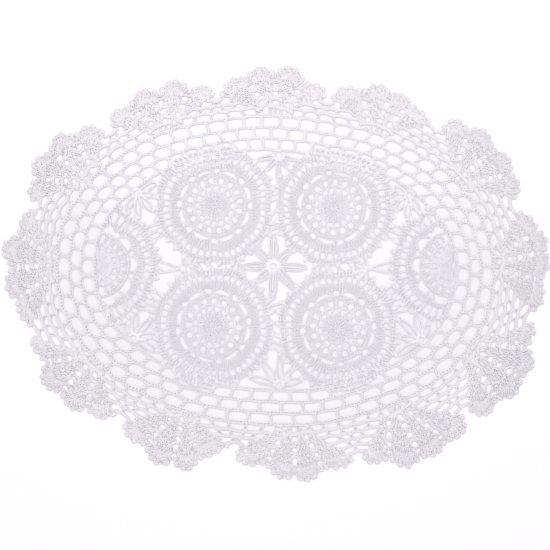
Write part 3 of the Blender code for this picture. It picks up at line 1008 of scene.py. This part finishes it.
class Value:
    """A number that varies over a surface, so that maths on it reads as maths."""

    def __init__(self, finish, socket):
        self.finish = finish
        self.socket = socket

    def reckoned(self, operation, *others):
        node = self.finish.node("ShaderNodeMath", enumerate(others), operation=operation)
        return Value(self.finish, node.outputs[0])

    def __add__(self, other):
        return self.reckoned("ADD", self, other)

    def __radd__(self, other):
        return self.reckoned("ADD", other, self)

    def __sub__(self, other):
        return self.reckoned("SUBTRACT", self, other)

    def __mul__(self, other):
        return self.reckoned("MULTIPLY", self, other)

    def wave(self):
        return self.reckoned("SINE", self)


class Finish:
    """A material with its nodes."""

    def __init__(self, name):
        self.material = bpy.data.materials.new(name)
        self.material.use_nodes = True
        self.tree = self.material.node_tree
        self.shader = self.tree.nodes["Principled BSDF"]

    def node(self, kind, sockets=(), **settings):
        node = self.tree.nodes.new(kind)
        for name, value in settings.items():
            setattr(node, name, value)
        for place, value in dict(sockets).items():
            self.feed(node.inputs[place], value)
        return node

    def feed(self, socket, value):
        if isinstance(value, Value):
            value = value.socket
        if isinstance(value, bpy.types.NodeSocket):
            self.tree.links.new(value, socket)
        else:
            socket.default_value = value

    def give(self, name, value):
        self.feed(self.shader.inputs[name], value)

    def noise(self, place, scale, detail=2.0):
        node = self.node("ShaderNodeTexNoise", {"Vector": place, "Scale": scale, "Detail": detail})
        return Value(self, node.outputs["Fac"])

    def span(self, value, low, high, to_low=0.0, to_high=1.0):
        node = self.node("ShaderNodeMapRange",
                         {"Value": value, "From Min": low, "From Max": high,
                          "To Min": to_low, "To Max": to_high}, clamp=True)
        return Value(self, node.outputs["Result"])

    def parts(self, vector):
        node = self.node("ShaderNodeSeparateXYZ", {0: vector})
        return [Value(self, output) for output in node.outputs]

    def mixed(self, share, first, second):
        node = self.node("ShaderNodeMix", {0: share, 6: first, 7: second}, data_type="RGBA")
        return node.outputs[2]


def painted_shade_in_middles(finish, x, y):
    """Painted shade: greyer in the middle of each motif, where the stitches lie closest."""
    greyer = 0.0
    for motif in MOTIFS.values():
        across, along = x - (motif["x"] - MIDDLE[0]), y - (motif["y"] - MIDDLE[1])
        squared = across * across + along * along
        greyer = greyer + finish.span(squared, (4 * MM) ** 2, (11 * MM) ** 2, 0.19, 0.0)
    return greyer


def painted_shade_at_edge_and_ends(finish, x, y):
    """Painted shade, greyer at the outer edge, and painted light falloff, greyer towards the two
    ends.
    """
    across, along = x * (1 / HALF_LENGTH), y * (1 / HALF_WIDTH)
    # Painted shade at the outer edge; the next line adds painted light falloff towards the two
    # ends
    painted_edge_shade = finish.span(across * across + along * along, 0.84, 1.0, 0.0, 0.22)
    return painted_edge_shade + finish.span(across * across, 0.50, 0.85, 0.0, 0.20)


# Each cotton where it is lit; its painted shade deep down between its stitches; and the tint it
# drifts to at random
COLOURS = {
    "cotton_motif": ((0.893, 0.855, 0.895), (0.780, 0.740, 0.785), (0.860, 0.828, 0.876)),
    "cotton_filling": ((0.905, 0.861, 0.905), (0.800, 0.762, 0.810), (0.865, 0.830, 0.883)),
    "cotton_net": ((0.888, 0.844, 0.883), (0.775, 0.734, 0.780), (0.860, 0.825, 0.874)),
    "cotton_edging": ((0.808, 0.770, 0.803), (0.755, 0.713, 0.755), (0.788, 0.755, 0.799)),
}
# Painted shade that some cottons get on top of their own colour
PAINTED_SHADES = {"cotton_motif": painted_shade_in_middles, "cotton_edging": painted_shade_at_edge_and_ends}
HALF_LENGTH, HALF_WIDTH = 0.200, 0.153  # of the whole doily
PLIES = 1.5  # turns of the plies' pattern round a strand
TWISTS = 7.0  # and along it


def cotton(name):
    """Off-white crochet cotton: two plies, fine fibres, and painted shade that greys it deep down
    between stitches, towards the bottom of the doily and, in some cottons, in further places.
    """
    light, deep, tinge = ((*colour, 1) for colour in COLOURS[name])
    finish = Finish(name)
    coordinates = finish.node("ShaderNodeTexCoord")
    place = coordinates.outputs["Object"]
    around, length = finish.parts(coordinates.outputs["UV"])[:2]
    x, y, height = finish.parts(place)
    drift = finish.span(finish.noise(place, 14.0), 0.35, 0.65)
    mottle = finish.noise(place, 260.0, 3.0)
    # Painted shade: lower strands, deep down between the stitches, are mixed towards the deeper
    # colour
    painted_hollow_shade_colour = finish.mixed(finish.span(height, 0.35 * MM, 1.15 * MM), deep, light)
    tinted = finish.mixed(drift * 0.55, painted_hollow_shade_colour, tinge)
    # Painted light falloff: the cotton is greyer towards the bottom of the doily, standing in for
    # light that falls off there
    painted_light_falloff = finish.span(y, -0.14, 0.14, 0.22, 0.0)
    # Random mottle of the cotton's own tone, plus the painted falloff; both mix towards the
    # darkest tone
    mottle_and_painted_shade = finish.span(mottle, 0.35, 0.68, 0.0, 0.24) + painted_light_falloff
    # Painted shade of some cottons: in the motifs' middles, and at the edging's outer edge and two
    # ends
    if name in PAINTED_SHADES:
        mottle_and_painted_shade = mottle_and_painted_shade + PAINTED_SHADES[name](finish, x, y)
    # The darkest tone, which the random mottle and the painted shade mix towards
    deepest = (*(0.86 * part for part in deep[:3]), 1)
    finish.give("Base Color", finish.mixed(mottle_and_painted_shade, tinted, deepest))
    fibres = finish.noise(place, 2600.0)
    plies = (around * (2 * math.pi * PLIES) + length * (2 * math.pi * TWISTS)).wave()
    bump = finish.node("ShaderNodeBump",
                       {"Strength": 0.28, "Distance": 0.10 * MM, "Height": plies * 0.5 + fibres})
    finish.give("Normal", bump.outputs["Normal"])
    finish.give("Roughness", finish.span(fibres, 0.2, 0.8, 0.78, 0.96))
    finish.give("Sheen Weight", 0.15)
    finish.give("Sheen Roughness", 0.6)
    return finish.material


COTTONS = {name: cotton(name) for name in COLOURS}


# The table, the light and the camera


FLOOR_HALF = 4.0
SHADED_HALF = (0.187, 0.134)  # painted shadow: the table is a little greyer under the lace, well inside its edge
SHADED_UP = 0.0049  # how far the middle of that lies up the table


def table_top():
    shape = bmesh.new()
    bmesh.ops.create_grid(shape, x_segments=1, y_segments=1, size=FLOOR_HALF)
    mesh = bpy.data.meshes.new("table_top")
    shape.to_mesh(mesh)
    shape.free()
    finish = Finish("table_white")
    x, y, _ = finish.parts(finish.node("ShaderNodeTexCoord").outputs["Object"])
    across, along = x * (1 / SHADED_HALF[0]), (y - SHADED_UP) * (1 / SHADED_HALF[1])
    # Painted shadow under the lace: inside the oval the table mixes towards a greyer colour, more
    # at its sides and bottom than at its top
    shaded = finish.span(across * across + along * along, 0.76, 1.0, 1.0, 0.0)
    shaded = shaded * finish.span(across * across - along * 0.35, 0.0, 0.5, 0.30, 1.0)
    colour = finish.mixed(shaded, (0.84, 0.80, 0.845, 1), (0.750, 0.716, 0.746, 1))
    finish.give("Base Color", colour)
    finish.give("Roughness", 0.9)
    mesh.materials.append(finish.material)
    return put("table_top", mesh)


def lamp(name, kind, place, power):
    """A lamp that stands at a place and shines on the middle of the doily."""
    data = bpy.data.lights.new(name, kind)
    data.energy = power
    shining = put(name, data)
    shining.location = place
    across = math.hypot(place[0], place[1])
    shining.rotation_euler = (
        math.atan2(across, place[2]), 0, math.atan2(place[1], place[0]) + math.pi / 2)
    return data


def studio():
    world = bpy.data.worlds.new("studio")
    world.use_nodes = True
    sky = world.node_tree.nodes["Background"].inputs
    sky["Color"].default_value = (0.98, 0.985, 1.0, 1)
    sky["Strength"].default_value = 0.80
    bpy.context.scene.world = world
    lamp("key", "SUN", (-0.1, 0.25, 1.2), 1.22).angle = math.radians(20)
    lamp("window", "AREA", (-0.03, 0.25, 0.55), 0.50).size = 0.35
    bpy.context.scene.view_settings.view_transform = "Standard"


VIEW_WIDTH = 550 * 0.000734  # pixels, and the size of one
CAMERA = (-0.0007, -0.0002, 1.25)
SENSOR = 36


def camera():
    data = bpy.data.cameras.new("above")
    data.sensor_width = SENSOR
    data.lens = SENSOR * CAMERA[2] / VIEW_WIDTH
    view = put("above", data)
    view.location = CAMERA
    bpy.context.scene.camera = view


# Flat areas in square metres, where a piece is far from filling its rectangle
FLAT_AREAS = {
    "centre_star_lace": 0.0019,
    "filling_bottom_lace": 0.0010,
    "net_ground_lace": 0.0240,
    "fan_edging_left_lace": 0.0165,
    "fan_edging_right_lace": 0.0165,
}


def finished(node, worked, slot, part=""):
    """The worked cotton as the piece that stands for a solid, or for one part of it."""
    name = node + part + "_lace"
    piece = piece_of(name, worked, COTTONS[slot], *THREADS[slot])
    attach(piece, "root")
    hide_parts(node)
    bpy.context.view_layer.update()
    width, length = piece.dimensions[:2]
    FLAT_AREAS.get(name)


floor = table_top()
for name in MEDALLIONS:
    finished(name, whole_medallion(name), "cotton_motif")
for name in HALF_MEDALLIONS:
    finished(name, half_medallion(name), "cotton_motif")
finished("centre_star", centre_star(), "cotton_filling")
for name in FILLINGS:
    finished(name, edge_filling(name), "cotton_filling")
finished("net_ground", net_ground(), "cotton_net")
for side, numbers in EDGING_PARTS.items():
    finished("fan_edging", fan_edging(numbers), "cotton_edging", "_" + side)
studio()
camera()
